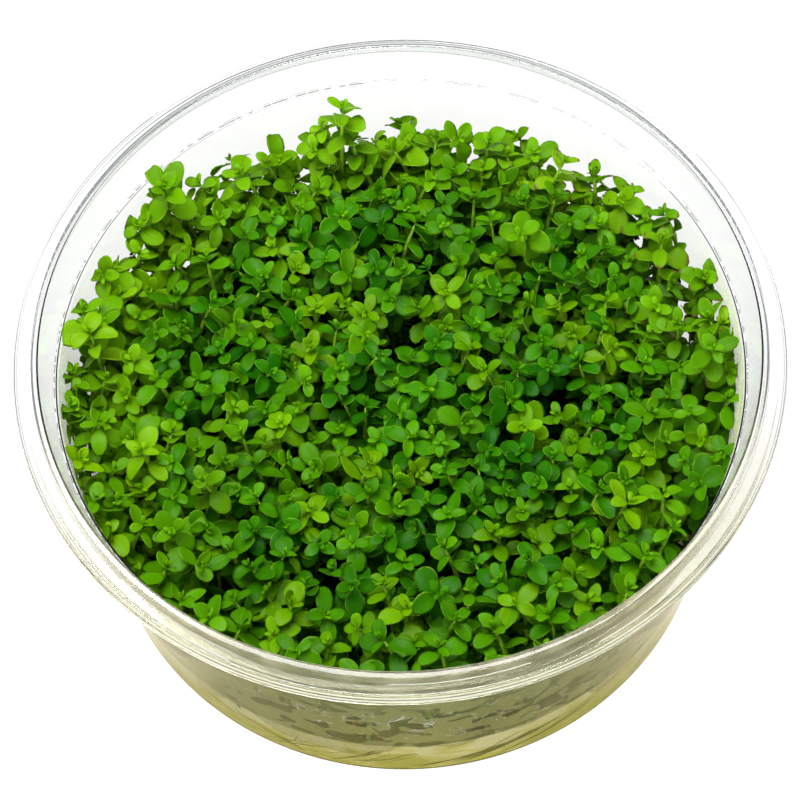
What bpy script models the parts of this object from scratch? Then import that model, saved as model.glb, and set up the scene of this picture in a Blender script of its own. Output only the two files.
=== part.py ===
"""Pearlweed on nutrient gel in a clear plastic culture cup, in metres with +Z up.

The origin is the middle of the cup's underside. The cup is turned from one closed section, the gel
fills its bottom, and the plants stand on the gel. Each plant is one clump: a mass of leafy stems that
stands in its own share of the cup, with shoots above it that end in a cross of four leaves.
"""
import math
import random

import bmesh
import bpy
from mathutils import Euler, Vector

# The cup, by its radii and its heights above the table
RIM_RADIUS = 0.0500
LIP_INNER_RADIUS = 0.0465
LIP_OUTER_RADIUS = 0.0477
LEDGE_RADIUS = 0.0452
FOOT_RADIUS = 0.0416
CUP_HEIGHT = 0.0443
FLANGE_HEIGHT = 0.0422
LEDGE_HEIGHT = 0.0382
FOOT_ROUND = 0.0020
WALL = 0.0007
FLOOR = 0.0008
LEDGE_WIDTH = 0.0006
CUP_STEPS = 44

# The gel, with a meniscus that climbs the wall
GEL_TOP = 0.0120
MENISCUS = 0.0006
FIT_GAP = 0.0003

# The shoots: how many, how high their top leaves are, and how far apart they stand
SHOOT_COUNT = 100
SHOOT_HEIGHT = 0.0330
SHOOT_HEIGHT_SPREAD = 0.0017
SHOOT_FIELD_RADIUS = 0.0408
SHOOT_SPACING = 0.0070
FAR_SIDE_DROP = 0.0022
WALL_SIDE_RISE = 0.0016
GOLDEN_ANGLE = math.pi * (3.0 - math.sqrt(5.0))

# A cross of leaves, with three points to a leaf: share of the cross's radius, and degrees from the
# leaf's middle line
CROSS_RADIUS = 0.0041
LEAF_OUTLINE = ((1.00, -20), (1.00, 20), (0.42, 45))
LEAF_POINTS = 4 * len(LEAF_OUTLINE)
UPPER_PAIR_LIFT = 0.24
LOWER_PAIR_LIFT = 0.06
CROSS_TILT = math.radians(7)

# The leafy clumps under the shoots, with their rings: share of the height, and share of the plan
PLANT_COUNT = 28
CLUMP_GAP = 0.0004
CLUMP_DROP = 0.0026
CLUMP_RINGS = ((0.00, 0.70), (0.62, 1.00), (0.91, 0.93), (1.00, 0.60))
CLUMP_LUMPS = 0.05
CLUMP_RISE = 0.0006
CLUMP_REACH = 0.0432
CLUMP_SIDES = 20
ROOT_DEPTH = 0.0024
ROOT_LEAN = 0.62
PLANT_SEED = 11

# Shoots that stand above their neighbours: where each one is, and the height of its top leaves
STANDING_SHOOTS = (
    (-0.0060, 0.0403, 0.0390),
    (-0.0305, 0.0283, 0.0398),
    (-0.0203, 0.0330, 0.0358),
    (0.0096, 0.0378, 0.0342),
    (0.0236, 0.0322, 0.0352),
    (0.0312, 0.0255, 0.0352),
    (0.0358, 0.0180, 0.0360),
    (0.0408, -0.0008, 0.0392),
    (-0.0405, 0.0070, 0.0384),
    (-0.0396, -0.0055, 0.0362),
    (0.0031, -0.0394, 0.0350),
    (0.0172, 0.0205, 0.0360),
    (-0.0260, -0.0150, 0.0365),
    (0.0151, -0.0284, 0.0362),
    (-0.0160, -0.0066, 0.0355),
)


def clear_scene():
    for item in list(bpy.data.objects):
        bpy.data.objects.remove(item, do_unlink=True)


def collection(name):
    group = bpy.data.collections.new(name)
    bpy.context.scene.collection.children.link(group)
    return group


def surface(name, colour, roughness, clear=0.0, ior=1.45):
    """One plain finish."""
    finish = bpy.data.materials.new(name)
    finish.use_nodes = True
    shader = finish.node_tree.nodes["Principled BSDF"]
    shader.inputs["Base Color"].default_value = (*colour, 1.0)
    shader.inputs["Roughness"].default_value = roughness
    shader.inputs["Metallic"].default_value = 0.0
    shader.inputs["Transmission Weight"].default_value = clear
    shader.inputs["IOR"].default_value = ior
    finish.diffuse_color = (*colour, 1.0)
    return finish


def wall_radius(height):
    """Outer radius of the tapered wall below the ledge."""
    share = (height - FOOT_ROUND) / (LEDGE_HEIGHT - FOOT_ROUND)
    top = LEDGE_RADIUS + WALL - LEDGE_WIDTH
    return FOOT_RADIUS + (top - FOOT_RADIUS) * share


def arc(centre_r, centre_z, radius, start, end, steps):
    """Points of a round corner in the section, from one angle to the other, in degrees."""
    points = []
    for i in range(steps + 1):
        angle = math.radians(start + (end - start) * i / steps)
        points.append((centre_r + radius * math.cos(angle), centre_z + radius * math.sin(angle)))
    return points


def cup_section():
    """The cup's half section, from the inside of the floor over the lip to the underside."""
    inner_round = FOOT_ROUND - WALL
    inner_foot = arc(FOOT_RADIUS - FOOT_ROUND, FLOOR + inner_round, inner_round, -90, 0, 2)
    inner_wall = [
        (wall_radius(LEDGE_HEIGHT) - WALL, LEDGE_HEIGHT - 0.0003),
        (LEDGE_RADIUS, LEDGE_HEIGHT + 0.0002),
        (LIP_INNER_RADIUS, CUP_HEIGHT - 0.0006),
    ]
    lip_middle = (LIP_INNER_RADIUS + LIP_OUTER_RADIUS) / 2
    lip = [
        (LIP_INNER_RADIUS + 0.0002, CUP_HEIGHT - 0.0002),
        (lip_middle - 0.0001, CUP_HEIGHT),
        (lip_middle + 0.0002, CUP_HEIGHT - 0.0001),
        (LIP_OUTER_RADIUS - 0.0002, CUP_HEIGHT - 0.0005),
        (LIP_OUTER_RADIUS, FLANGE_HEIGHT + 0.0001),
    ]
    flange = [
        (LIP_OUTER_RADIUS + 0.0004, FLANGE_HEIGHT - 0.0001),
        (RIM_RADIUS - 0.0012, FLANGE_HEIGHT + 0.0002),
        (RIM_RADIUS - 0.0010, FLANGE_HEIGHT + 0.0006),
        (RIM_RADIUS - 0.0007, FLANGE_HEIGHT + 0.0003),
        (RIM_RADIUS - 0.0003, FLANGE_HEIGHT + 0.0006),
        (RIM_RADIUS, FLANGE_HEIGHT + 0.0004),
        (RIM_RADIUS, FLANGE_HEIGHT - 0.0003),
        (RIM_RADIUS - 0.0005, FLANGE_HEIGHT - 0.0003),
        (LIP_OUTER_RADIUS + 0.0004, FLANGE_HEIGHT - 0.0008),
        (LIP_OUTER_RADIUS - 0.0009, FLANGE_HEIGHT - 0.0009),
    ]
    outer_wall = [
        (LEDGE_RADIUS + WALL, LEDGE_HEIGHT - 0.0002),
        (wall_radius(LEDGE_HEIGHT), LEDGE_HEIGHT - 0.0008),
    ]
    outer_foot = arc(FOOT_RADIUS - FOOT_ROUND, FOOT_ROUND, FOOT_ROUND, 0, -90, 2)
    return [(0.0, FLOOR)] + inner_foot + inner_wall + lip + flange + outer_wall + outer_foot + [(0.0, 0.0)]


def gel_section():
    """The gel's half section, from the middle of its top down its side to the middle of its floor."""
    side_gap = WALL + FIT_GAP
    corner = FOOT_RADIUS - side_gap
    foot = FLOOR + FIT_GAP
    return [
        (0.0, GEL_TOP),
        (wall_radius(GEL_TOP) - side_gap - 2 * MENISCUS, GEL_TOP),
        (wall_radius(GEL_TOP + MENISCUS) - side_gap, GEL_TOP + MENISCUS),
        (corner, FOOT_ROUND + FIT_GAP),
        (corner - 0.0004, foot + 0.0003),
        (corner - 0.0011, foot),
        (0.0, foot),
    ]


def turned(name, section, finish, group):
    """A body turned about the Z axis from a closed half section."""
    mesh = bpy.data.meshes.new(name)
    points = [(radius, 0.0, height) for radius, height in section]
    mesh.from_pydata(points, [(i, i + 1) for i in range(len(points) - 1)], [])
    item = bpy.data.objects.new(name, mesh)
    group.objects.link(item)
    turn = item.modifiers.new("turn", 'SCREW')
    turn.axis = 'Z'
    turn.angle = math.tau
    turn.steps = CUP_STEPS
    turn.render_steps = CUP_STEPS
    turn.use_merge_vertices = True
    turn.merge_threshold = 0.00001
    turn.use_smooth_shade = True
    mesh.materials.append(finish)
    return item


def sunflower(index, count):
    """One place of an even spread over the round field of shoots."""
    radius = SHOOT_FIELD_RADIUS * math.sqrt((index + 0.5) / count)
    angle = index * GOLDEN_ANGLE
    return Vector((radius * math.cos(angle), radius * math.sin(angle)))


def keep_apart(points, fixed, rounds=60):
    """Pushes the points away from each other and from the fixed ones, and holds them in the cup."""
    for _ in range(rounds):
        for i, point in enumerate(points):
            push = Vector((0.0, 0.0))
            for other in points[:i] + points[i + 1:] + fixed:
                away = point - other
                if 0.0 < away.length < SHOOT_SPACING:
                    push += away.normalized() * (SHOOT_SPACING - away.length) * 0.5
            point += push
            if point.length > SHOOT_FIELD_RADIUS:
                point *= SHOOT_FIELD_RADIUS / point.length


def shoot_places(rng):
    """The shoots as (x, y, height of the top leaves), the standing ones first."""
    standing = [Vector((x, y)) for x, y, _ in STANDING_SHOOTS]
    count = SHOOT_COUNT - len(standing)
    free = []
    for i in range(count):
        jitter = Vector((rng.uniform(-1, 1), rng.uniform(-1, 1))) * SHOOT_SPACING * 0.25
        free.append(sunflower(i, count) + jitter)
    keep_apart(free, standing)
    shoots = [Vector(place) for place in STANDING_SHOOTS]
    for place in free:
        outward = (place.length / SHOOT_FIELD_RADIUS) ** 3
        farther = max(0.0, place.y / SHOOT_FIELD_RADIUS) ** 2
        height = SHOOT_HEIGHT + rng.uniform(-1, 1) * SHOOT_HEIGHT_SPREAD
        height += WALL_SIDE_RISE * (outward - farther) - FAR_SIDE_DROP * farther
        shoots.append(Vector((place.x, place.y, height)))
    return shoots


def plant_groups(shoots):
    """Shares the shoots out among the plants, each to the nearest middle, and moves the middles."""
    middles = [sunflower(i, PLANT_COUNT) for i in range(PLANT_COUNT)]
    for _ in range(30):
        groups = [[] for _ in middles]
        for shoot in shoots:
            distances = [(shoot.xy - middle).length for middle in middles]
            groups[distances.index(min(distances))].append(shoot)
        for i, group in enumerate(groups):
            if group:
                middles[i] = sum((shoot.xy for shoot in group), Vector((0.0, 0.0))) / len(group)
    return [(middle, group) for middle, group in zip(middles, groups) if group]


def mesh_object(name, mesh, group):
    """Makes an object of a bmesh, which it frees."""
    data = bpy.data.meshes.new(name)
    mesh.to_mesh(data)
    mesh.free()
    item = bpy.data.objects.new(name, data)
    group.objects.link(item)
    return item


def clump(name, middle, others, top, group, rng):
    """The leafy mass of one plant: its share of the round field, drawn up in lumpy rings."""
    mesh = bmesh.new()
    bmesh.ops.create_circle(mesh, cap_ends=True, segments=CLUMP_SIDES, radius=CLUMP_REACH)
    for other in others:
        towards = (other - middle).normalized()
        edge = (middle + other) / 2 - towards * CLUMP_GAP / 2
        parts = mesh.verts[:] + mesh.edges[:] + mesh.faces[:]
        bmesh.ops.bisect_plane(mesh, geom=parts, plane_co=(*edge, 0.0), plane_no=(*towards, 0.0),
                               clear_outer=True)
    faces = mesh.faces[:]
    rings = {corner: CLUMP_RINGS[0] for corner in mesh.verts}
    for ring in CLUMP_RINGS[1:]:
        result = bmesh.ops.extrude_face_region(mesh, geom=faces)
        if len(rings) > len(faces[0].verts):
            bmesh.ops.delete(mesh, geom=faces, context='FACES_ONLY')
        faces = [part for part in result["geom"] if isinstance(part, bmesh.types.BMFace)]
        rings.update((part, ring) for part in result["geom"] if isinstance(part, bmesh.types.BMVert))
    foot = GEL_TOP + FIT_GAP
    for corner, (up, share) in rings.items():
        height = foot + (top - foot) * up
        place = middle + (corner.co.xy - middle) * share * (1.0 - rng.uniform(0.0, CLUMP_LUMPS))
        room = wall_radius(height) - WALL - 2 * FIT_GAP
        if up:
            height += rng.uniform(-CLUMP_RISE, CLUMP_RISE)
        else:
            room -= 3 * MENISCUS
        if place.length > room:
            place *= room / place.length
        corner.co = (place.x, place.y, height)
    bmesh.ops.recalc_face_normals(mesh, faces=mesh.faces[:])
    return mesh_object(name, mesh, group)


def leaf_cross(place, radius, root, turn, tilt, group):
    """Four blunt leaves in a cross, on a stem that narrows down to its root in the clump."""
    mesh = bmesh.new()
    bmesh.ops.create_cone(mesh, cap_ends=True, cap_tris=True, segments=LEAF_POINTS, radius1=1.0,
                          radius2=0.0, depth=1.0)
    for corner in mesh.verts:
        if corner.co.xy.length < 0.5:
            if corner.co.z < 0.0:
                root_corner = corner
            corner.co.z = 0.0
            continue
        step = round(math.atan2(corner.co.y, corner.co.x) / math.tau * LEAF_POINTS) % LEAF_POINTS
        leaf, part = divmod(step, len(LEAF_OUTLINE))
        share, sideways = LEAF_OUTLINE[part]
        angle = math.radians(leaf * 90 + sideways)
        lift = LOWER_PAIR_LIFT if leaf % 2 else UPPER_PAIR_LIFT
        reach = radius * share
        corner.co = (reach * math.cos(angle), reach * math.sin(angle), reach * lift)
    bmesh.ops.rotate(mesh, verts=mesh.verts[:], matrix=Euler((tilt.x, tilt.y, turn), 'ZYX').to_matrix())
    bmesh.ops.translate(mesh, verts=mesh.verts[:], vec=place)
    root_corner.co = root
    return mesh_object("cross", mesh, group)


def fused(body, pieces):
    """Joins the pieces to the body as one closed solid."""
    for piece in pieces:
        join = body.modifiers.new("grow", 'BOOLEAN')
        join.operation = 'UNION'
        join.solver = 'EXACT'
        join.object = piece
    bpy.context.view_layer.update()
    graph = bpy.context.evaluated_depsgraph_get()
    mesh = bpy.data.meshes.new_from_object(body.evaluated_get(graph))
    body.modifiers.clear()
    body.data = mesh
    for piece in pieces:
        bpy.data.objects.remove(piece, do_unlink=True)


def plant(number, middle, shoots, other_middles, other_shoots, finish, group, rng):
    """One plant: its leafy clump and its shoots, grown together."""
    top = min(shoot.z for shoot in shoots) - CLUMP_DROP
    body = clump("plant_%02d" % number, middle, other_middles, top, group, rng)
    pieces = []
    for shoot in shoots:
        gap = min((shoot.xy - other.xy).length for other in other_shoots) - FIT_GAP
        wall = wall_radius(shoot.z) - WALL - FIT_GAP - shoot.xy.length
        radius = min(CROSS_RADIUS, gap / 2, wall)
        turn = rng.uniform(0.0, math.pi / 2)
        tilt = Vector((rng.uniform(-1, 1), rng.uniform(-1, 1))) * CROSS_TILT
        foot = middle.lerp(shoot.xy, ROOT_LEAN)
        root = Vector((foot.x, foot.y, top - ROOT_DEPTH))
        pieces.append(leaf_cross(shoot, radius, root, turn, tilt, group))
    fused(body, pieces)
    body.data.materials.append(finish)


def build():
    clear_scene()
    rng = random.Random(PLANT_SEED)
    parts = collection("pearlweed")
    plastic = surface("clear_plastic", (0.93, 0.95, 0.94), 0.06, clear=1.0, ior=1.49)
    jelly = surface("nutrient_gel", (0.86, 0.82, 0.52), 0.12, clear=1.0, ior=1.34)
    leaf = surface("pearlweed_leaf", (0.16, 0.42, 0.03), 0.42)
    turned("cup", cup_section(), plastic, parts)
    turned("gel", gel_section(), jelly, parts)
    shoots = shoot_places(rng)
    plants = plant_groups(shoots)
    middles = [middle for middle, _ in plants]
    for number, (middle, group) in enumerate(plants, start=1):
        other_middles = [other for other in middles if other is not middle]
        other_shoots = [shoot for shoot in shoots if not any(shoot is own for own in group)]
        plant(number, middle, group, other_middles, other_shoots, leaf, parts, rng)


build()
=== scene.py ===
import math
import random

import bpy
import numpy as np
from mathutils import Matrix, Vector


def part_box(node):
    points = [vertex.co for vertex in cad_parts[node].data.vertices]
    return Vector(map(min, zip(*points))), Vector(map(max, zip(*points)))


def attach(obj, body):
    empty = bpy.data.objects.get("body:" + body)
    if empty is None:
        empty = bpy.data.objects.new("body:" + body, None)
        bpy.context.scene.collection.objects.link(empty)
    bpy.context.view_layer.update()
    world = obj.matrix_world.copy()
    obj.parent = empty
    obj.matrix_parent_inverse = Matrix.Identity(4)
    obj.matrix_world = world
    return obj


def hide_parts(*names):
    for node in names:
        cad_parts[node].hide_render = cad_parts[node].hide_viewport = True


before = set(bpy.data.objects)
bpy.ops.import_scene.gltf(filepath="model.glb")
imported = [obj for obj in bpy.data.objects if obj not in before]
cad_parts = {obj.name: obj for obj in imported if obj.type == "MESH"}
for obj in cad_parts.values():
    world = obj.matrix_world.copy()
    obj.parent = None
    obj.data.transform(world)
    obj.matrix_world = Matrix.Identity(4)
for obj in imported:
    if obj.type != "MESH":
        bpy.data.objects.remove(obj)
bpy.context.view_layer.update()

# The camera stands 40 cm away and looks down into the cup at 60 degrees, with a long lens and a slight
# roll that lifts the right side of the rim.
CAMERA_DISTANCE = 0.400
CAMERA_ELEVATION = math.radians(60.33)
CAMERA_ROLL = math.radians(-2.94)
CAMERA_LENS_MM = 135.2
CAMERA_SENSOR_MM = 36.0
CAMERA_NEAR = 0.01
LOOK_AT = Vector((-0.00025, 0.0, 0.02876))

bpy.ops.object.select_all(action='DESELECT')
back = Vector((0.0, -math.cos(CAMERA_ELEVATION), math.sin(CAMERA_ELEVATION)))
turn = Matrix.Rotation(math.pi / 2 - CAMERA_ELEVATION, 3, 'X') @ Matrix.Rotation(CAMERA_ROLL, 3, 'Z')
bpy.ops.object.camera_add(location=LOOK_AT + back * CAMERA_DISTANCE, rotation=turn.to_euler())
camera = bpy.context.object
camera.data.sensor_width = CAMERA_SENSOR_MM
camera.data.lens = CAMERA_LENS_MM
camera.data.clip_start = CAMERA_NEAR
bpy.context.scene.camera = camera


# The table is a plain white sheet that glows, so the cup throws no shadow on it. Its mirror image in
# the cup's wall is dim and cream in front, and its light on the plants is stronger than it looks.
# Links in a material's nodes are written as sums: Link adds the Math nodes, and node() any other.
TABLE_SIZE = 8.0
TABLE_DROP = 0.0003
TABLE_GLOW = 1.12
GLOW_ON_PLANTS = 1.5
MIRROR_SHADES = (
    # from in front of the cup to behind it
    (0.08, (0.13, 0.12, 0.05)), (0.24, (0.40, 0.37, 0.20)),
    (0.40, (0.80, 0.74, 0.52)), (0.58, (1.05, 1.05, 1.03)),
)


class Link:
    """One output socket of a material's or the world's nodes, or no socket yet."""

    def __init__(self, tree, socket=None):
        self.tree = tree
        self.socket = socket

    def node(self, kind, inputs=None, settings=None, stops=None):
        """Adds a node with its settings, its ramp's stops, and the values or links of its sockets."""
        made = self.tree.nodes.new("ShaderNode" + kind)
        for name, value in (settings or {}).items():
            setattr(made, name, value)
        if stops:
            while len(made.color_ramp.elements) < len(stops):
                made.color_ramp.elements.new(0.5)
            for element, (place, colour) in zip(made.color_ramp.elements, stops):
                element.position = place
                element.color = (*colour, 1.0)
        for name, value in (inputs or {}).items():
            socket = made.inputs[name]
            if isinstance(value, Link):
                self.tree.links.new(value.socket, socket)
            elif socket.type == 'RGBA':
                socket.default_value = (*value, 1.0)
            else:
                socket.default_value = value
        shown = [socket for socket in made.outputs if socket.enabled]
        return Link(self.tree, shown[0]) if shown else None

    def __getitem__(self, name):
        return Link(self.tree, self.socket.node.outputs[name])

    def maths(self, operation, first, second=0.0):
        return self.node("Math", {0: first, 1: second}, {"operation": operation})

    def __add__(self, other):
        return self.maths('ADD', self, other)

    def __radd__(self, other):
        return self.maths('ADD', other, self)

    def __sub__(self, other):
        return self.maths('SUBTRACT', self, other)

    def __rsub__(self, other):
        return self.maths('SUBTRACT', other, self)

    def __mul__(self, other):
        return self.maths('MULTIPLY', self, other)

    def __rmul__(self, other):
        return self.maths('MULTIPLY', other, self)

    def __pow__(self, other):
        return self.maths('POWER', self, other)

    def __abs__(self):
        return self.maths('ABSOLUTE', self)

    def step(self, low, high, shape='SMOOTHSTEP'):
        """A step from 0 at low to 1 at high, soft or LINEAR."""
        inputs = {0: self, 1: low, 2: high, 3: 0.0, 4: 1.0}
        return self.node("MapRange", inputs, {"interpolation_type": shape})

    def mix(self, first, second):
        """The first colour where this is 0, and the second where it is 1."""
        made = self.node("Mix", {0: self, 6: first, 7: second}, {"data_type": 'RGBA'})
        return Link(self.tree, made.socket.node.outputs[2])


def material(name):
    """A new material with nothing in it but its output, and the Link that adds its nodes."""
    made = bpy.data.materials.new(name)
    made.use_nodes = True
    made.node_tree.nodes.clear()
    return made, Link(made.node_tree)


bpy.ops.mesh.primitive_plane_add(size=TABLE_SIZE, location=(0.0, 0.0, -TABLE_DROP))
table = bpy.context.object
table.name = "table"
white, paint = material("white_table")
# It is bright to the eye, also through the cup, and stronger still where its light falls on matt things.
ray = paint.node("LightPath")
through = ray["Is Transmission Ray"] * (1.0 - paint.maths('MINIMUM', ray["Glossy Depth"], 1.0))
seen = paint.maths('MAXIMUM', ray["Is Camera Ray"], through)
scattered = paint.maths('MAXIMUM', ray["Is Diffuse Ray"], ray["Diffuse Depth"])
scattered = paint.maths('MINIMUM', scattered, 1.0)
spot = paint.node("SeparateXYZ", {0: paint.node("TexCoord")["Object"]})
behind = spot["Y"] * 10.0 + 0.5 + abs(spot["X"]).step(0.024, 0.048) * 0.22
mirrored = paint.node("ValToRGB", {0: behind}, stops=MIRROR_SHADES)
dim = paint.node("Emission", {"Color": mirrored, "Strength": 1.0})
bright = paint.node("Emission", {"Color": (1.0, 1.0, 1.0), "Strength": TABLE_GLOW})
glow = paint.node("Emission", {"Color": (1.0, 1.0, 0.98), "Strength": GLOW_ON_PLANTS})
sharp = paint.node("MixShader", {0: seen, 1: dim, 2: bright})
paint.node("OutputMaterial", {"Surface": paint.node("MixShader", {0: scattered, 1: sharp, 2: glow})})
table.data.materials.append(white)

# Soft studio light: a wide lamp overhead and a little behind, a weak one from the left, and one low in
# front for the near wall. The room is pale overhead and grey at the level of the table, which draws
# the rim's thin dark lines.
LAMPS = {
    # place, size, power
    "overhead_lamp": ((-0.12, 0.10, 0.80), 0.50, 11.0),
    "left_lamp": ((-0.62, -0.40, 0.32), 0.40, 3.5),
    "front_lamp": ((0.15, -0.85, 0.20), 0.50, 10.0),
}
ROOM_LIGHT = 0.5
ROOM_SHADES = (
    # from below to straight up
    (0.00, (0.90, 0.90, 0.90)), (0.48, (0.80, 0.80, 0.80)), (0.52, (0.30, 0.31, 0.32)),
    (0.66, (0.45, 0.47, 0.50)), (1.00, (0.95, 0.97, 1.00)),
)
for name, (place, size, power) in LAMPS.items():
    aim = (LOOK_AT - Vector(place)).to_track_quat('-Z', 'Y').to_euler()
    bpy.ops.object.light_add(type='AREA', location=place, rotation=aim)
    lamp = bpy.context.object
    lamp.name = name
    lamp.data.size = size
    lamp.data.energy = power
world = bpy.data.worlds.new("pale_room")
bpy.context.scene.world = world
world.use_nodes = True
world.node_tree.nodes.clear()
paint = Link(world.node_tree)
up = paint.node("SeparateXYZ", {0: paint.node("TexCoord")["Generated"]})["Z"]
room = paint.node("ValToRGB", {0: up * 0.5 + 0.5}, stops=ROOM_SHADES)
paint.node("OutputWorld", {"Surface": paint.node("Background", {"Color": room, "Strength": ROOM_LIGHT})})
bpy.context.scene.view_settings.view_transform = 'Standard'

# The cup is moulded in one piece from thin clear plastic: a flat base, a tapered wall that ends in a
# narrow ledge, and above it a wider neck with a rolled lip and a flange with a raised edge and a skirt.
# Along the near lip and flange it is tinted cream and a little hazy, which paints a sheen on that side.
CUP_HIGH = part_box("cup")[1]
RIM_RADIUS = CUP_HIGH.x
CUP_HEIGHT = CUP_HIGH.z
LIP_INNER_RADIUS = 0.0465
LIP_OUTER_RADIUS = 0.0475
LEDGE_RADIUS = 0.0452
FOOT_RADIUS = 0.0416
FLANGE_HEIGHT = 0.0422
LEDGE_HEIGHT = 0.0382
LEDGE_STEP = 0.0001
FOOT_ROUND = 0.0020
LIP_BEND = 0.0003
LIP_CORNER = 0.0001
SHEET = 0.00028
ROUND_STEPS = 192
DOUBLES_WITHIN = 0.000002
EDGE_ROUNDING = 0.00005
SMOOTH_BELOW = math.radians(40)
NEAR_LIP_SHEEN_COLOUR = (0.88, 0.87, 0.75)
HAZE_COLOUR = (0.90, 0.88, 0.68)
PAINTED_LEDGE_SHADE_COLOUR = (0.12, 0.13, 0.09)


def wall_radius(height):
    """Outer radius of the tapered wall below the ledge."""
    share = (height - FOOT_ROUND) / (LEDGE_HEIGHT - FOOT_ROUND)
    return FOOT_RADIUS + (LEDGE_RADIUS - LEDGE_STEP - FOOT_RADIUS) * share


def arc(centre_r, centre_z, radius, start, end, steps):
    """Points of a round corner in a section, from one angle to the other, in degrees."""
    angles = [math.radians(start + (end - start) * i / steps) for i in range(steps + 1)]
    return [(centre_r + radius * math.cos(a), centre_z + radius * math.sin(a)) for a in angles]


def turned(name, section):
    """Draws a half section from the axis out and back to it, and spins it into a closed body."""
    bpy.ops.object.select_all(action='DESELECT')
    bpy.ops.mesh.primitive_plane_add(size=0.001)
    piece = bpy.context.object
    piece.name = name
    bpy.ops.object.mode_set(mode='EDIT')
    bpy.ops.mesh.merge(type='CENTER')
    bpy.ops.transform.translate(value=(section[0][0], 0.0, section[0][1]))
    for (radius, height), (next_radius, next_height) in zip(section, section[1:]):
        step = (next_radius - radius, 0.0, next_height - height)
        bpy.ops.mesh.extrude_vertices_move(TRANSFORM_OT_translate={"value": step})
    bpy.ops.mesh.select_all(action='SELECT')
    bpy.ops.mesh.spin(steps=ROUND_STEPS, angle=math.tau, center=(0, 0, 0), axis=(0, 0, 1))
    bpy.ops.mesh.select_all(action='SELECT')
    bpy.ops.mesh.remove_doubles(threshold=DOUBLES_WITHIN)
    bpy.ops.mesh.normals_make_consistent(inside=False)
    bpy.ops.object.mode_set(mode='OBJECT')
    return piece


def cup_section():
    """The sheet's upper side from the middle of the floor to the skirt, and back along its underside."""
    inside = [(0.0, SHEET)]
    inside += arc(FOOT_RADIUS - FOOT_ROUND, FOOT_ROUND, FOOT_ROUND - SHEET, -90, 0, 6)
    inside += [(wall_radius(LEDGE_HEIGHT) - SHEET, LEDGE_HEIGHT),
               (LEDGE_RADIUS, LEDGE_HEIGHT + LEDGE_STEP)]
    lip = arc(LIP_INNER_RADIUS + LIP_BEND, CUP_HEIGHT - LIP_BEND, LIP_BEND, 168, 90, 6)
    lip += arc(LIP_OUTER_RADIUS - LIP_CORNER, CUP_HEIGHT - LIP_CORNER, LIP_CORNER, 90, 0, 3)
    flange = [
        (LIP_OUTER_RADIUS, FLANGE_HEIGHT + 0.0003),
        (LIP_OUTER_RADIUS + 0.0002, FLANGE_HEIGHT + 0.0001),
        (RIM_RADIUS - 0.0014, FLANGE_HEIGHT + 0.0002),
        (RIM_RADIUS - 0.0011, FLANGE_HEIGHT + 0.0005),
        (RIM_RADIUS - 0.0009, FLANGE_HEIGHT + 0.0005),
        (RIM_RADIUS - 0.0006, FLANGE_HEIGHT + 0.0003),
        (RIM_RADIUS - 0.0003, FLANGE_HEIGHT + 0.0005),
        (RIM_RADIUS, FLANGE_HEIGHT + 0.0003),
        (RIM_RADIUS, FLANGE_HEIGHT - 0.0003),
        (RIM_RADIUS - SHEET, FLANGE_HEIGHT - 0.0003),
        (RIM_RADIUS - SHEET - 0.0001, FLANGE_HEIGHT),
        (RIM_RADIUS - 0.0010, FLANGE_HEIGHT + 0.0001),
        (RIM_RADIUS - 0.0014, FLANGE_HEIGHT - 0.0002),
        (LIP_OUTER_RADIUS, FLANGE_HEIGHT - 0.0002),
    ]
    under = [
        (LIP_OUTER_RADIUS - SHEET, FLANGE_HEIGHT + 0.0001),
        (LIP_OUTER_RADIUS - SHEET, CUP_HEIGHT - SHEET - 0.0001),
    ]
    under += arc(LIP_INNER_RADIUS + LIP_BEND, CUP_HEIGHT - LIP_BEND, LIP_BEND - SHEET, 90, 168, 4)
    outside = [(LEDGE_RADIUS + SHEET, LEDGE_HEIGHT - 0.0003),
               (wall_radius(LEDGE_HEIGHT), LEDGE_HEIGHT - 0.0004)]
    outside += arc(FOOT_RADIUS - FOOT_ROUND, FOOT_ROUND, FOOT_ROUND, 0, -90, 6)
    return inside + lip + flange + under + outside + [(0.0, 0.0)]


cup = turned("clear_cup", cup_section())
bpy.ops.object.modifier_add(type='BEVEL')
rounding = cup.modifiers[0]
rounding.width = EDGE_ROUNDING
rounding.segments = 2
rounding.limit_method = 'ANGLE'
rounding.angle_limit = math.radians(22)
bpy.ops.object.modifier_apply(modifier=rounding.name)
bpy.ops.object.shade_smooth_by_angle(angle=SMOOTH_BELOW)

plastic, paint = material("clear_plastic")
place = paint.node("TexCoord")["Object"]
scratches = paint.node("TexNoise", {"Vector": place, "Scale": 900.0, "Detail": 3.0})["Fac"]
flow = paint.node("TexNoise", {"Vector": place, "Scale": 60.0, "Detail": 1.0})["Fac"]
dents = paint.node("Bump", {"Strength": 0.04, "Distance": 0.0004, "Height": flow})
blots = paint.node("TexNoise", {"Vector": place, "Scale": 320.0, "Detail": 3.0})["Fac"]
spot = paint.node("SeparateXYZ", {0: place})
# The near side of the lip and flange is tinted cream and hazed: a painted sheen.
near_lip_sheen = spot["Z"].step(LEDGE_HEIGHT, LEDGE_HEIGHT + 0.0015) * spot["Y"].step(-0.004, -0.034)
# A dotted dark line is painted along the ledge: painted shade.
off_ledge = abs(spot["Z"] - (LEDGE_HEIGHT + LEDGE_STEP)).step(0.00002, 0.00005)
painted_ledge_shade = (1.0 - off_ledge) * scratches.step(0.46, 0.54)
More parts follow.
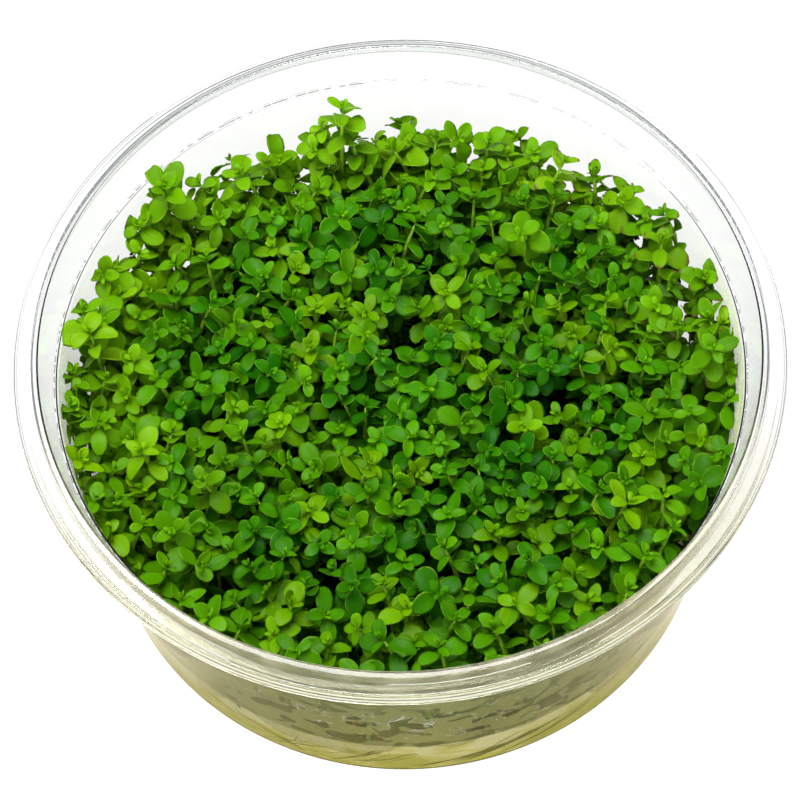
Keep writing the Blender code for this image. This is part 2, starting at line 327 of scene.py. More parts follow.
# The plastic's tint carries the painted near sheen and the painted shade along the ledge.
painted_tint = near_lip_sheen.mix((0.985, 0.99, 0.988), NEAR_LIP_SHEEN_COLOUR)
painted_tint = painted_ledge_shade.mix(painted_tint, PAINTED_LEDGE_SHADE_COLOUR)
clear = paint.node("BsdfPrincipled", {
    "Base Color": painted_tint, "Roughness": scratches.step(0.45, 0.85) * 0.03 + 0.005,
    "IOR": 1.49, "Transmission Weight": 1.0, "Normal": dents})
# The haze, only on the near side, is part of the painted sheen.
hazy = near_lip_sheen * (0.06 + 0.10 * blots.step(0.40, 0.65))
lit_side = paint.node("BsdfDiffuse", {"Color": HAZE_COLOUR})
far_side = paint.node("BsdfTranslucent", {"Color": HAZE_COLOUR})
haze = paint.node("MixShader", {0: 0.5, 1: lit_side, 2: far_side})
paint.node("OutputMaterial", {"Surface": paint.node("MixShader", {0: hazy, 1: clear, 2: haze})})
cup.data.materials.append(plastic)
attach(cup, "root")
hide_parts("cup")

# The nutrient gel was poured in warm, so it wets the wall and floor, and its edge climbs the wall in a
# wavy line. It is nearly clear, with a pale yellow tint that deepens with its thickness.
GEL_TOP = 0.0120
WETTING = 0.00008
CLIMB = 0.0011
GEL_WAVE = 0.0008


def gel_wave(angle):
    """How far the edge of the gel rises and falls around the wall."""
    return GEL_WAVE * (0.6 * math.sin(3 * angle + 0.8) + 0.5 * math.sin(7 * angle + 2.1)
                       + 0.4 * math.sin(13 * angle + 0.3) + 0.3 * math.sin(23 * angle + 4.0))


def gel_section():
    """A low disc that fills the foot of the cup to just inside the plastic, with a climbing edge."""
    inner_round = FOOT_ROUND - SHEET + WETTING
    edge = wall_radius(GEL_TOP) - SHEET + WETTING
    foot = SHEET - WETTING
    top = [(0.0, GEL_TOP)] + [(edge * share, GEL_TOP) for share in (0.2, 0.4, 0.6, 0.75, 0.86)]
    rise = [(edge - 0.0030, GEL_TOP + CLIMB * 0.05), (edge - 0.0014, GEL_TOP + CLIMB * 0.25),
            (edge - 0.0005, GEL_TOP + CLIMB * 0.60), (edge, GEL_TOP + CLIMB)]
    side = arc(FOOT_RADIUS - FOOT_ROUND, foot + inner_round, inner_round, 0, -90, 6)
    return top + rise + side + [(0.0, foot)]


gel = turned("nutrient_gel", gel_section())
for corner in gel.data.vertices:
    if corner.co.z > GEL_TOP - 0.00001:
        reach = corner.co.xy.length / wall_radius(GEL_TOP)
        corner.co.z += gel_wave(math.atan2(corner.co.y, corner.co.x)) * reach ** 4
bpy.ops.object.shade_smooth_by_angle(angle=SMOOTH_BELOW)

jelly, paint = material("nutrient_gel")
place = paint.node("TexCoord")["Object"]
lumps = paint.node("TexNoise", {"Vector": place, "Scale": 220.0, "Detail": 2.0})["Fac"]
ripples = paint.node("Bump", {"Strength": 0.2, "Distance": 0.0004, "Height": lumps})
wet = paint.node("BsdfPrincipled", {
    "Base Color": (0.99, 0.98, 0.93), "Roughness": 0.02, "IOR": 1.34, "Transmission Weight": 1.0,
    "Normal": ripples})
tint = paint.node("VolumeAbsorption", {"Color": (0.90, 0.85, 0.20), "Density": 35.0})
paint.node("OutputMaterial", {"Surface": wet, "Volume": tint})
gel.data.materials.append(jelly)
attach(gel, "root")
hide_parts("gel")

# Inside its clear skin the set gel is cloudy: cream and yellow, with paler veils that end in tongues
# below its surface, and darker on top, where the stems stand in it and shade it.
CLOUD_DEPTH = 0.0007
CLOUD_TOP = 0.0112
CLOUD_FOOT_RADIUS = 0.0408
CLOUD_FOOT_HEIGHT = 0.0022
CLOUD_LIFT = 0.0002
TONGUES_FROM = 0.0050
TONGUE = 0.0012
CLOUD_SHADES = ((0.36, (0.64, 0.60, 0.13)), (0.50, (0.83, 0.75, 0.27)), (0.62, (0.93, 0.88, 0.49)))
SHADED_COLOUR = (0.07, 0.11, 0.02)


def cloud_section():
    """A disc a little inside the gel's own, with enough points up its side to draw the tongues."""
    inner_round = FOOT_ROUND - SHEET - CLOUD_DEPTH * 0.7
    edge = wall_radius(CLOUD_TOP) - SHEET - CLOUD_DEPTH
    top = [(0.0, CLOUD_TOP), (edge * 0.5, CLOUD_TOP), (edge * 0.8, CLOUD_TOP),
           (edge - 0.0030, CLOUD_TOP), (edge - 0.0012, CLOUD_TOP + 0.0001), (edge, CLOUD_TOP)]
    side = [(edge - (edge - CLOUD_FOOT_RADIUS) * share,
             CLOUD_TOP * (1.0 - share) + CLOUD_FOOT_HEIGHT * share) for share in (0.2, 0.4, 0.6, 0.8)]
    foot = arc(FOOT_RADIUS - FOOT_ROUND + CLOUD_LIFT, FOOT_ROUND + CLOUD_LIFT, inner_round, 0, -90, 5)
    return top + side + foot + [(0.0, FOOT_ROUND + CLOUD_LIFT - inner_round)]


def tongues(angle):
    """How far the cloud's edge reaches up, between -1 and 1, in broad waves with narrow points."""
    broad = math.sin(5 * angle + 1.0) + 0.8 * math.sin(11 * angle + 2.0)
    points = 1.0 - 2.0 * abs(math.sin(17 * angle + 0.6 * math.sin(9 * angle)))
    return 0.35 * broad + 0.35 * points + 0.20 * math.sin(41 * angle)


cloud = turned("cloudy_gel", cloud_section())
for corner in cloud.data.vertices:
    share = min(1.0, max(0.0, (corner.co.z - TONGUES_FROM) / (CLOUD_TOP - TONGUES_FROM)))
    outer = min(1.0, corner.co.xy.length / (wall_radius(CLOUD_TOP) - SHEET - 0.0030))
    corner.co.z += TONGUE * tongues(math.atan2(corner.co.y, corner.co.x)) * share * outer ** 6
bpy.ops.object.shade_smooth_by_angle(angle=math.radians(60))

veil, paint = material("cloudy_gel")
place = paint.node("TexCoord")["Object"]
spot = paint.node("SeparateXYZ", {0: place})
flat = paint.node("Mapping", {"Vector": place, "Scale": (1.0, 1.0, 1.6)})
bands = paint.node("TexNoise", {"Vector": flat, "Scale": 150.0, "Detail": 3.0,
                                "Distortion": 0.9})["Fac"]
facing_up = paint.node("SeparateXYZ", {0: paint.node("NewGeometry")["Normal"]})["Z"]
cream = paint.node("ValToRGB", {0: bands + (spot["Z"] - 0.007) * 30.0}, stops=CLOUD_SHADES)
from_axis = (spot["X"] * spot["X"] + spot["Y"] * spot["Y"]) ** 0.5
shaded = facing_up.step(0.5, 0.9) * from_axis.step(0.0400, 0.0370)
cream = shaded.mix(cream, SHADED_COLOUR)
milky = paint.node("BsdfPrincipled", {
    "Base Color": cream, "Roughness": 0.6, "Specular IOR Level": 0.0})
paint.node("OutputMaterial", {"Surface": milky})
cloud.data.materials.append(veil)
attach(cloud, "root")

# Fine olive roots run down through the gel and along the inside of the cup, in loose bundles that
# curve around its foot. Each is a thin tube, bent from one blank along its own path.
def blank(segments, rings):
    """A sphere as a blank with its poles at both ends, as t, u and w of its points, and its faces."""
    bpy.ops.object.select_all(action='DESELECT')
    bpy.ops.mesh.primitive_uv_sphere_add(segments=segments, ring_count=rings, radius=1.0)
    ball = bpy.context.object
    t, u, w = [], [], []
    for corner in ball.data.vertices:
        ring = max(corner.co.xy.length, 0.000001)
        t.append((corner.co.z + 1.0) / 2.0)
        u.append(0.0 if ring < 0.001 else corner.co.x / ring)
        w.append(0.0 if ring < 0.001 else corner.co.y / ring)
    faces = [tuple(face.vertices) for face in ball.data.polygons]
    bpy.data.objects.remove(ball, do_unlink=True)
    return np.array(t), np.array(u), np.array(w), faces


ROOT_BLANK = blank(6, 14)
ROOT_RADIUS = 0.00013
ROOT_COLOUR = (0.26, 0.27, 0.04)
ROOT_SEED = 3
ROOT_BUNDLES = (
    # angle around the cup in degrees, number of roots, sweep in degrees
    (-108, 4, -9), (-101, 4, -7), (-95, 5, -9), (-69, 6, -20), (-60, 4, -24), (-128, 2, 12),
    (-35, 4, -16), (-160, 3, 12), (0, 4, 14), (35, 5, -12), (65, 5, 12), (95, 5, -14),
    (130, 5, 12), (165, 4, -12),
)
ROOT_HIGH_ENDS = (0.0062, 0.0095)
ROOT_LOW_ENDS = (0.0013, 0.0035)
ROOT_DEEP_ENDS = (0.0003, 0.0009)
ROOT_SHALLOW_ENDS = (0.00025, 0.0007)


def joined(name, parts):
    """Joins parts, whose points and faces come first, in one mesh and adds it to the scene."""
    points, faces, count = [], [], 0
    for part_points, part_faces, *_ in parts:
        points.append(part_points)
        faces += [tuple(corner + count for corner in face) for face in part_faces]
        count += len(part_points)
    mesh = bpy.data.meshes.new(name)
    mesh.from_pydata(np.concatenate(points), [], faces)
    mesh.shade_smooth()
    piece = bpy.data.objects.new(name, mesh)
    bpy.context.scene.collection.objects.link(piece)
    return piece


def root_tube(angle, sweep, high, low, deep, shallow, radius, wobble):
    """A root that runs around the wall by its sweep, from high to low and from deep in to near it."""
    t, u, w, faces = ROOT_BLANK
    share = 1.0 - t
    around = angle + sweep * share ** 1.4 + wobble * np.sin(share * 7.0)
    height = low + (high - low) * t ** 0.8
    inner = FOOT_RADIUS - SHEET + (LEDGE_RADIUS - FOOT_RADIUS) * (height - FOOT_ROUND) / LEDGE_HEIGHT
    corner = np.clip((FOOT_ROUND - height) / FOOT_ROUND, 0.0, 1.0)
    reach = inner - 0.6 * FOOT_ROUND * corner ** 2 - (shallow + (deep - shallow) * t ** 2)
    middle = np.stack([reach * np.cos(around), reach * np.sin(around), height], axis=1)
    outward = np.stack([np.cos(around), np.sin(around), np.zeros_like(around)], axis=1)
    sideways = np.stack([-np.sin(around) * 0.7, np.cos(around) * 0.7, np.full_like(around, 0.7)], axis=1)
    ring = (radius * np.sqrt(np.clip(1.0 - (2.0 * t - 1.0) ** 8, 0.0, 1.0)))[:, None]
    return middle + ring * (u[:, None] * outward + w[:, None] * sideways), faces


root_draws = random.Random(ROOT_SEED)
tubes = []
for degrees, number, sweep in ROOT_BUNDLES:
    for _ in range(number):
        tubes.append(root_tube(
            math.radians(degrees + root_draws.uniform(-6, 6)),
            math.radians(sweep * root_draws.uniform(0.6, 1.3)),
            root_draws.uniform(*ROOT_HIGH_ENDS), root_draws.uniform(*ROOT_LOW_ENDS),
            root_draws.uniform(*ROOT_DEEP_ENDS), root_draws.uniform(*ROOT_SHALLOW_ENDS),
            ROOT_RADIUS * root_draws.uniform(0.7, 1.25), root_draws.uniform(-0.02, 0.02)))
roots = joined("fine_roots", tubes)
threads, paint = material("pearlweed_root")
thread = paint.node("BsdfPrincipled", {
    "Base Color": ROOT_COLOUR, "Roughness": 0.5, "Specular IOR Level": 0.2})
paint.node("OutputMaterial", {"Surface": thread})
roots.data.materials.append(threads)
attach(roots, "root")

# Between the gel and the ledge the inside of the wall is fogged with condensed water, thick on the
# near side and hardly there on the far one. Where leaves have touched it, it is smeared in patches,
# and glints are painted along some of their edges. Its olive is painted too: the blurred, shaded
# leaves behind it, lighter high up, with a painted sheen towards the ends of the near side and a
# painted green reflection of the leaves at the sides.
FOG_TOP = 0.0374
FOG_LAP = 0.0006
FOG_GAP = 0.00002
FOG_THICKNESS = 0.00004
FOG_THIN, FOG_PATCHED = (0.20, 0.19, 0.03), (0.48, 0.47, 0.15)
FOG_HIGH, FOG_SHEEN_AT_ENDS = (0.50, 0.51, 0.22), (0.75, 0.72, 0.40)
FOG_LEAF_REFLECTION_ON_SIDES, FOG_AT_BACK = (0.56, 0.72, 0.14), (0.78, 0.72, 0.66)
FOG_PAINTED_GLINT = (0.95, 0.95, 0.85)


def fog_section():
    """A thin loop along the inside of the wall, from just below the gel's top to just below the ledge."""
    low = GEL_TOP - FOG_LAP
    inward = -SHEET - FOG_GAP
    foot, head = wall_radius(low) + inward, wall_radius(FOG_TOP) + inward
    loop = [(foot, low), (head, FOG_TOP), (head - FOG_THICKNESS, FOG_TOP), (foot - FOG_THICKNESS, low)]
    return loop + loop[:1]


fog = turned("condensation", fog_section())
bpy.ops.object.shade_smooth_by_angle(angle=SMOOTH_BELOW)
mist, paint = material("condensed_water")
place = paint.node("TexCoord")["Object"]
spot = paint.node("SeparateXYZ", {0: place})
stretched = paint.node("Mapping", {"Vector": place, "Scale": (1.0, 1.0, 1.4)})
patches = paint.node("TexNoise", {"Vector": stretched, "Scale": 230.0, "Detail": 4.0,
                                  "Distortion": 0.8})["Fac"]
patch = patches.step(0.47, 0.50)
scatter = paint.node("TexNoise", {"Vector": stretched, "Scale": 330.0, "Detail": 2.0})["Fac"]
middle_height = spot["Z"].step(0.0120, 0.0145) * spot["Z"].step(0.0280, 0.0225)
# Thin white strokes along some patch edges are painted glints.
painted_glints = (1.0 - abs(patches - 0.485).step(0.003, 0.009)) * scatter.step(0.42, 0.50) * middle_height
nearer = spot["Y"].step(0.015, -0.028)
sides = spot["Y"].step(0.022, 0.002)
high = spot["Z"].step(0.018, 0.030)
# Towards the ends of the near side the fog is painted lighter: a painted sheen.
sheen_at_ends = abs(spot["X"]).step(0.010, 0.034)
# The fog's olive colours are painted: the shaded leaves seen blurred behind it, lighter high up.
colour = high.mix(patch.mix(FOG_THIN, FOG_PATCHED), FOG_HIGH)
colour = (sheen_at_ends * 0.4).mix(colour, FOG_SHEEN_AT_ENDS)
# At the sides the fog is painted with the green of the leaves it mirrors: a painted reflection.
colour = nearer.mix(spot["Y"].step(0.006, 0.030).mix(FOG_LEAF_REFLECTION_ON_SIDES, FOG_AT_BACK), colour)
colour = painted_glints.mix(colour, FOG_PAINTED_GLINT)
cover = 0.05 + sides * 0.15 + nearer * (0.06 + patch * 0.20 + high * 0.08 + painted_glints * 0.36)
vapour = paint.node("BsdfPrincipled", {
    "Base Color": colour, "Roughness": 0.5, "Specular IOR Level": 0.1, "Alpha": cover})
paint.node("OutputMaterial", {"Surface": vapour})
fog.data.materials.append(mist)
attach(fog, "root")

# The pearlweed grows in clumps that root in the gel. Their tallest shoots stand where the solids have
# theirs, and more shoots fill the room between them and along the wall. Each shoot belongs to the
# clump whose middle is nearest.
SHOOT_COUNT = 100
SHOOT_HEIGHT = 0.0330
SHOOT_HEIGHT_SPREAD = 0.0017
SHOOT_FIELD_RADIUS = 0.0408
SHOOT_SPACING = 0.0070
FAR_SIDE_DROP = 0.0022
FAR_SIDE_INSET = 0.0045
WALL_SIDE_RISE = 0.0016
GOLDEN_ANGLE = math.pi * (3.0 - math.sqrt(5.0))
PLANT_COUNT = 28
PLANT_SEED = 11
STANDING_SHOOTS = (
    # x, y, height of the top leaves
    (-0.0060, 0.0403, 0.0390),
    (-0.0305, 0.0283, 0.0398),
    (-0.0203, 0.0330, 0.0358),
    (0.0096, 0.0378, 0.0342),
    (0.0236, 0.0322, 0.0352),
    (0.0312, 0.0255, 0.0352),
    (0.0358, 0.0180, 0.0360),
    (0.0408, -0.0008, 0.0392),
    (-0.0405, 0.0070, 0.0384),
    (-0.0396, -0.0055, 0.0362),
    (0.0031, -0.0394, 0.0350),
    (0.0172, 0.0205, 0.0360),
    (-0.0260, -0.0150, 0.0365),
    (0.0151, -0.0284, 0.0362),
    (-0.0160, -0.0066, 0.0355),
)
FILLER_COUNT = 200
FILLER_SPACING = 0.0043
FILLER_FIELD_RADIUS = 0.0434
FILLER_SEED = 23
RIM_SHOOTS = 22
RIM_FROM, RIM_SWEEP = 205.0, 215.0
RIM_RISE = (0.0005, 0.0035)


def sunflower(index, count, field):
    """One place of an even spread over the round field of shoots."""
    radius = field * math.sqrt((index + 0.5) / count)
    angle = index * GOLDEN_ANGLE
    return Vector((radius * math.cos(angle), radius * math.sin(angle)))


def keep_apart(points, fixed, spacing, field, rounds):
    """Pushes the points away from each other and from the fixed ones, and holds them in the cup."""
    for _ in range(rounds):
        for i, point in enumerate(points):
            push = Vector((0.0, 0.0))
            for other in points[:i] + points[i + 1:] + fixed:
                away = point - other
                if 0.0 < away.length < spacing:
                    push += away.normalized() * (spacing - away.length) * 0.5
            point += push
            if point.length > field:
                point *= field / point.length


def canopy_height(place, draw):
    """Height of a shoot's top leaves: higher at the near and side walls, and lower at the far one."""
    outward = (place.length / SHOOT_FIELD_RADIUS) ** 3
    farther = max(0.0, place.y / SHOOT_FIELD_RADIUS) ** 2
    height = SHOOT_HEIGHT + draw * SHOOT_HEIGHT_SPREAD
    return height + WALL_SIDE_RISE * (outward - farther) - FAR_SIDE_DROP * farther


def shoot_places():
    """The solids' shoots as (x, y, height of the top leaves), the standing ones first."""
    draws = random.Random(PLANT_SEED)
    standing = [Vector((x, y)) for x, y, _ in STANDING_SHOOTS]
    count = SHOOT_COUNT - len(standing)
    free = []
    for i in range(count):
        jitter = Vector((draws.uniform(-1, 1), draws.uniform(-1, 1))) * SHOOT_SPACING * 0.25
        free.append(sunflower(i, count, SHOOT_FIELD_RADIUS) + jitter)
    keep_apart(free, standing, SHOOT_SPACING, SHOOT_FIELD_RADIUS, 60)
    shoots = [Vector(place) for place in STANDING_SHOOTS]
    for place in free:
        shoots.append(Vector((*place, canopy_height(place, draws.uniform(-1, 1)))))
    return shoots


def filler_places(shoots):
    """More shoots between the solids' own, most of them a little lower, and a row along the wall."""
    draws = random.Random(FILLER_SEED)
    fixed = [shoot.xy for shoot in shoots]
    free = []
    for i in range(FILLER_COUNT):
        jitter = Vector((draws.uniform(-1, 1), draws.uniform(-1, 1))) * FILLER_SPACING * 0.4
        free.append(sunflower(i, FILLER_COUNT, FILLER_FIELD_RADIUS) + jitter)
    keep_apart(free, fixed, FILLER_SPACING, FILLER_FIELD_RADIUS, 30)
    fillers = [Vector((*place, canopy_height(place, draws.uniform(-1.6, 0.6)))) for place in free]
    for i in range(RIM_SHOOTS):
        angle = math.radians(RIM_FROM - RIM_SWEEP * (i + draws.uniform(-0.3, 0.3)) / RIM_SHOOTS)
        farther = max(0.0, math.sin(angle)) ** 4
        radius = FILLER_FIELD_RADIUS - FAR_SIDE_INSET * farther
        height = SHOOT_HEIGHT + draws.uniform(*RIM_RISE) - FAR_SIDE_DROP * farther
        fillers.append(Vector((radius * math.cos(angle), radius * math.sin(angle), height)))
    return fillers


def plant_middles(shoots):
    """The middles of the clumps, each moved to the middle of the shoots that are nearest to it."""
    middles = [sunflower(i, PLANT_COUNT, SHOOT_FIELD_RADIUS) for i in range(PLANT_COUNT)]
    for _ in range(30):
        groups = [[] for _ in middles]
        for shoot in shoots:
            distances = [(shoot.xy - middle).length for middle in middles]
            groups[distances.index(min(distances))].append(shoot)
        for i, group in enumerate(groups):
            if group:
                middles[i] = sum((shoot.xy for shoot in group), Vector((0.0, 0.0))) / len(group)
    return [middle for middle, group in zip(middles, groups) if group]


# A pearlweed leaf is small, thick and rounded, with no stalk: widest past its middle, and slightly
# cupped. It is modelled once, flat, and so are the bud's leaf and the stem, which are then bent and
# repeated. Along a blank runs t, from 0 at its foot to 1, and across it u and w, from -1 to 1.
LEAF_BLANK = blank(8, 7)
LOW_LEAF_BLANK = blank(6, 6)
BUD_BLANK = blank(6, 5)
STEM_BLANK = blank(5, 8)
LEAF_THICKNESS = 0.00013
WIDEST_AT = 0.53
LEAF_FOOT = 0.20


def leaf_width(t, point):
    """Half the leaf's width at t, as a share of its greatest: 0.5 gives a round tip, more a pointed one."""
    tip = np.clip(1.0 - ((t - WIDEST_AT) / (1.0 - WIDEST_AT)) ** 2, 0.0, 1.0) ** point
    foot = LEAF_FOOT + (1.0 - LEAF_FOOT) * np.sin(np.clip(t / WIDEST_AT, 0.0, 1.0) * math.pi / 2) ** 1.2
    return np.where(t > WIDEST_AT, tip, foot) * np.where(t < 0.001, 0.0, 1.0)


def bent_leaves(shape, rows):
    """Places a leaf for each row: foot, out, up, length, width, point, rise, bend, cup, twist."""
    t, u, w, _ = shape
    points = []
    for foot, out, up, length, width, point, rise, bend, cup, twist in rows:
        half = leaf_width(t, point)
        side = np.cross(up, out)
        angle = rise - bend * t / 2
        along = length * t * np.cos(angle)
        high = length * t * np.sin(angle)
        across = width / 2 * half * u
        lift = cup * width / 2 * np.abs(half * u) ** 1.5 + np.sin(twist * t) * across
        thick = LEAF_THICKNESS / 2 * w * (0.35 + 0.65 * np.sqrt(half))
        high = high + (lift + thick) * np.cos(angle)
        along = along - (lift + thick) * np.sin(angle)
        points.append(foot + np.outer(along, out) + np.outer(across, side) + np.outer(high, up))
    return points


def bent_stem(path, radius):
    """A thin stem along a curved path of three points."""
    t, u, w, _ = STEM_BLANK
    low, middle, high = path
    line = np.outer((1 - t) ** 2, low) + np.outer(2 * t * (1 - t), middle) + np.outer(t ** 2, high)
    ring = radius * np.sqrt(np.clip(1.0 - (2.0 * t - 1.0) ** 12, 0.0, 1.0)) * (1.15 - 0.3 * t)
    return line + np.outer(ring * u, (1.0, 0.0, 0.0)) + np.outer(ring * w, (0.0, 1.0, 0.0))


# A shoot is a thin upright stem with a pair of leaves every few millimetres, each pair turned a
# quarter from the one below, and at its top a small bud. The leaves get smaller and paler to the top.
STEM_RADIUS = 0.00033
ROOT_LEAN = 0.88
LEAF_LENGTH = 0.0034
LEAF_WIDTH = 0.0023
LEAF_PAIRS = (
    # how far below the tip, size, rise in degrees, bend in degrees, bud
    (-0.0006, 0.22, 70, 10, True),
    (-0.0004, 0.38, 56, 20, True),
    (0.0000, 0.72, 34, 22, False),
    (0.0009, 1.02, 18, 24, False),
    (0.0026, 1.06, 8, 26, False),
    (0.0050, 1.04, 4, 26, False),
    (0.0078, 1.04, 0, 26, False),
    (0.0108, 1.04, -4, 28, False),
    (0.0142, 1.04, -8, 28, False),
    (0.0178, 1.04, -10, 30, False),
)
LOW_LEAVES_FROM = 0.0070
RISE_SPREAD = 17.0
BEND_SPREAD = 20.0
SIDE_SHOOT_CHANCE = 0.65
SIDE_SHOOT_REACH = (0.0040, 0.0075)
SWAY = 0.0060
STEM_IN_GEL = 0.0012
OUTER_FROM, OUTER_OVER = 0.030, 0.010
CREEPERS = 6
CREEPER_IN_GEL = 0.0005
# The creepers' tint makes them darker: painted shade.
CREEPER_PAINTED_SHADE = (-0.1, 0.0, 0.0)
CREEPING_PAIRS = (
    (0.0004, 0.80, 30, 20, False),
    (0.0022, 1.05, 10, 20, False),
    (0.0044, 1.10, 0, 20, False),
    (0.0066, 1.10, 0, 20, False),
    (0.0088, 1.10, 0, 20, False),
)
SIDE_PAIRS = (
    (-0.0003, 0.20, 62, 10, True),
    (0.0000, 0.46, 40, 20, True),
    (0.0006, 0.72, 22, 24, False),
    (0.0024, 0.78, 8, 26, False),
    (0.0048, 0.72, 2, 26, False),
)
WALL_CLEARANCE = 0.00012
LEAF_SEED = 5


def held_in(points):
    """Presses the points that would pass through the cup's wall flat against its inside."""
    reach = np.hypot(points[:, 0], points[:, 1])
    share = (points[:, 2] - FOOT_ROUND) / (LEDGE_HEIGHT - FOOT_ROUND)
    inner = FOOT_RADIUS + (LEDGE_RADIUS - FOOT_RADIUS) * share - SHEET
    limit = np.minimum(inner, LEDGE_RADIUS) - WALL_CLEARANCE
    squeeze = np.minimum(1.0, limit / np.maximum(reach, 0.0001))
    return points * np.stack([squeeze, squeeze, np.ones_like(squeeze)], axis=1)


def curve_point(path, along):
    """The point at this share of a path of three points, and the way that the path runs there."""
    low, middle, high = path
    point = (1 - along) ** 2 * low + 2 * along * (1 - along) * middle + along ** 2 * high
    way = (1 - along) * (middle - low) + along * (high - middle)
    return point, way / np.linalg.norm(way)


def grow_shoot(path, pairs, grown, tint, draws):
    """The stem, leaves and bud on one path: a list of (points, faces, places on the leaf, tint)."""
    pale, yellow, brown = tint
    stem = bent_stem(path, STEM_RADIUS * grown * draws.uniform(0.85, 1.15))
    t, u, _, faces = STEM_BLANK
    parts = [(held_in(stem), faces, np.stack([u * 0 + 2.0, t, u * 0], axis=1), tint)]
    turn = draws.uniform(0.0, math.pi)
    length = np.linalg.norm(path[2] - path[0])
    for number, (below, size, rise, bend, bud) in enumerate(pairs):
        along = 1.0 - below * draws.uniform(0.85, 1.15) / length
        if along < 0.10:
            break
        foot, way = curve_point(path, along)
        turn += math.pi / 2 + draws.gauss(0.0, 0.15 + 0.05 * number)
        rows = []
        for side in (0.0, math.pi):
            angle = turn + side + draws.gauss(0.0, 0.12)
            out = np.array((math.cos(angle), math.sin(angle), 0.0))
            out -= way * np.dot(out, way)
            out /= np.linalg.norm(out)
            scale = size * grown * draws.uniform(0.86, 1.12)
            rows.append((foot, out, way, LEAF_LENGTH * scale,
                         LEAF_WIDTH * scale * draws.uniform(0.78, 1.10), draws.uniform(0.42, 0.64),
                         math.radians(rise + draws.gauss(0.0, RISE_SPREAD)),
                         math.radians(bend + draws.gauss(0.0, BEND_SPREAD)),
                         draws.uniform(0.0, 0.6), draws.gauss(0.0, 0.5)))
        if bud or pairs is CREEPING_PAIRS:
            shape = BUD_BLANK
        elif below > LOW_LEAVES_FROM:
            shape = LOW_LEAF_BLANK
        else:
            shape = LEAF_BLANK
        t, u, _, faces = shape
        edge = np.maximum(np.abs(u), 1.0 - (1.0 - t) * 2.0 * LEAF_LENGTH / LEAF_WIDTH)
        young = max(0.0, 1.0 - number / 4.0)
        for points in bent_leaves(shape, rows):
            # Lower pairs are painted darker, as shade; the young ones at the top are paler.
            lightness_and_painted_shade = pale * 0.5 + 0.4 * young - 0.05 * number + draws.uniform(-0.1, 0.25)
            place = np.stack([np.abs(u), t, np.clip(edge, 0.0, 1.0)], axis=1)
            parts.append((held_in(points), faces, place, (lightness_and_painted_shade, yellow, brown)))
    return parts


def grow_shoots(shoot, middle, draws):
    """A shoot that grows from near the middle of its clump, with the side shoots on it. The outer ones
    are larger, paler and yellower, most of all at the far left: their paler, yellower tint is painted
    light."""
    base = middle.lerp(shoot.xy, ROOT_LEAN)
    low = np.array((base.x, base.y, GEL_TOP - STEM_IN_GEL))
    high = np.array(shoot)
    sway = np.array((draws.uniform(-1, 1), draws.uniform(-1, 1), 0.0)) * SWAY
    path = (low, (low + high) / 2 + sway, high)
    outer = min(1.0, max(0.0, (shoot.xy.length - OUTER_FROM) / OUTER_OVER))
    outer *= 0.55 + 0.45 * (shoot.y - 0.5 * shoot.x) / 0.05
    grown = draws.uniform(0.82, 1.10) + 0.17 * outer
    # The outer shoots' paler, yellower tint is painted light, strongest at the far left.
    tint = (draws.uniform(0.0, 0.9) + 0.45 * outer, min(1.0, 0.7 * draws.random() ** 3 + 0.55 * outer),
            float(draws.random() < 0.5 * max(0.0, (shoot.x + shoot.y * 0.6) / 0.047) ** 6))
    parts = grow_shoot(path, LEAF_PAIRS, grown, tint, draws)
    for along in (draws.uniform(0.45, 0.62), draws.uniform(0.25, 0.45)):
        if draws.random() < SIDE_SHOOT_CHANCE + 0.3 * outer:
            foot, way = curve_point(path, along)
            angle = draws.uniform(0.0, math.tau)
            out = np.array((math.cos(angle), math.sin(angle), 0.0))
            reach = draws.uniform(*SIDE_SHOOT_REACH)
            tip = foot + out * reach * 0.5 + way * reach
            side_path = (foot, foot + out * reach * 0.45 + way * reach * 0.3, tip)
            parts += grow_shoot(side_path, SIDE_PAIRS, grown, tint, draws)
    return parts


def grow_creepers(middle, draws):
    """Low shoots that creep over the gel from the middle of a clump, in its shade, and painted darker for
    it.
    """
    parts = []
    for i in range(CREEPERS):
        angle = math.tau * (i + draws.uniform(-0.3, 0.3)) / CREEPERS
        reach = draws.uniform(0.006, 0.010)
        low = np.array((middle.x, middle.y, GEL_TOP - CREEPER_IN_GEL))
        out = np.array((math.cos(angle), math.sin(angle), 0.0)) * reach
        rise = np.array((0.0, 0.0, draws.uniform(0.002, 0.006)))
        path = (low, low + out * 0.4 + rise, low + out + rise)
        parts += grow_shoot(path, CREEPING_PAIRS, 1.0, CREEPER_PAINTED_SHADE, draws)
    return parts


def grown_plant(name, shoots, middle, draws):
    """Joins all the shoots of one clump in one mesh, with each point's place on its leaf and tint."""
    parts = grow_creepers(middle, draws)
    for shoot in shoots:
        parts += grow_shoots(shoot, middle, draws)
    plant = joined(name, parts)
    places = [part_places for _, _, part_places, _ in parts]
    tints = [np.tile(tint, (len(points), 1)) for points, _, _, tint in parts]
    for label, values in (("leaf_place", places), ("leaf_tint", tints)):
        attribute = plant.data.attributes.new(label, 'FLOAT_VECTOR', 'POINT')
        attribute.data.foreach_set("vector", np.concatenate(values).astype(np.float32).ravel())
    return plant


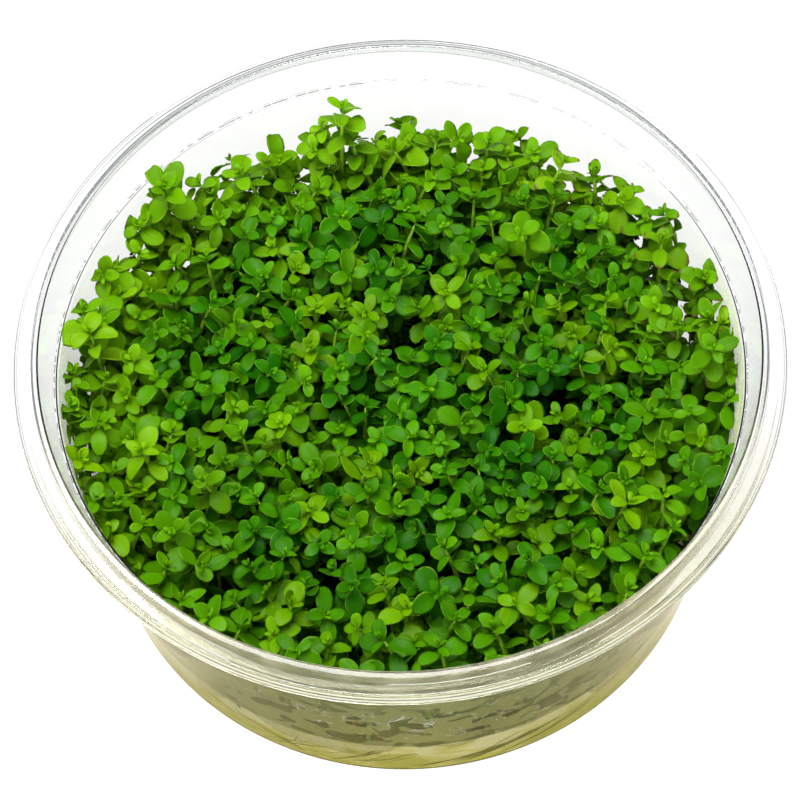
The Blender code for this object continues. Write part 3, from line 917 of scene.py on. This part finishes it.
# The leaves are deep green below, partly as painted shade that darkens the lower pairs, and paler and
# yellower at the tips of the shoots, with painted light along some edges, and a few tips are brown.
# Light that comes through a leaf has the same tints as its face. Across a leaf is 0 on its rib and 1
# at its sides, and 2 on a stem.
DEEP_GREEN = (0.014, 0.140, 0.0005)
LIGHT_THROUGH = 0.40
leaf, paint = material("pearlweed_leaf")
leaf_place = paint.node("Attribute", settings={"attribute_name": "leaf_place"})["Vector"]
leaf_tint = paint.node("Attribute", settings={"attribute_name": "leaf_tint"})["Vector"]
place_parts = paint.node("SeparateXYZ", {0: leaf_place})
tint_parts = paint.node("SeparateXYZ", {0: leaf_tint})
across, along, edge = (place_parts[axis] for axis in "XYZ")
pale, yellow, brown = (tint_parts[axis] for axis in "XYZ")
place = paint.node("TexCoord")["Object"]
mottle = paint.node("TexNoise", {"Vector": place, "Scale": 700.0, "Detail": 3.0})["Fac"]
broken = paint.node("TexNoise", {"Vector": place, "Scale": 330.0})["Fac"]
# Some leaf edges are painted lighter: painted light along the rim.
lit_edge = edge.step(0.86, 1.0) * broken.step(0.40, 0.62)
# The paleness carries painted shade on the lower pairs and painted light on the outer shoots.
youth_and_painted_shade = pale + (mottle - 0.5) * 0.3
tints = (
    # how much of the tint lies over the ones before it, and its colour
    (youth_and_painted_shade.step(0.0, 0.45, 'LINEAR'), (0.050, 0.250, 0.0008)),
    (youth_and_painted_shade.step(0.45, 1.0, 'LINEAR'), (0.145, 0.430, 0.002)),
    (yellow * 0.75, (0.27, 0.52, 0.002)),
    (lit_edge * 0.75, (0.36, 0.66, 0.05)),
    (brown * along.step(0.80, 1.0), (0.14, 0.07, 0.02)),
    (across.step(1.4, 1.6), (0.28, 0.52, 0.03)),
)
rib = (1.0 - across.step(0.0, 0.25)) * along.step(1.0, 0.5)
veins = rib * -0.6 + mottle * 0.5
surface = paint.node("Bump", {"Strength": 0.35, "Distance": 0.0001, "Height": veins})
green = DEEP_GREEN
seen_through = paint.node("BsdfTranslucent", {"Color": DEEP_GREEN, "Normal": surface})
for share, tint in tints:
    green = share.mix(green, tint)
    lit = paint.node("BsdfTranslucent", {"Color": tint, "Normal": surface})
    seen_through = paint.node("MixShader", {0: share, 1: seen_through, 2: lit})
front = paint.node("BsdfPrincipled", {
    "Base Color": green, "Roughness": 0.36, "Normal": surface, "Specular IOR Level": 0.08,
    "Coat Roughness": 0.12, "Coat Weight": pale.step(0.75, 1.1) * 0.35})
blade = paint.node("MixShader", {0: LIGHT_THROUGH, 1: front, 2: seen_through})
paint.node("OutputMaterial", {"Surface": blade})

main_shoots = shoot_places()
middles = plant_middles(main_shoots)
all_shoots = main_shoots + filler_places(main_shoots)
nearest = [min(range(len(middles)), key=lambda i: (shoot.xy - middles[i]).length) for shoot in all_shoots]
leaf_draws = random.Random(LEAF_SEED)
for number, middle in enumerate(middles):
    own = [shoot for shoot, clump in zip(all_shoots, nearest) if clump == number]
    plant = grown_plant("pearlweed_%02d" % (number + 1), own, middle, leaf_draws)
    plant.data.materials.append(leaf)
    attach(plant, "root")
    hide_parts("plant_%02d" % (number + 1))
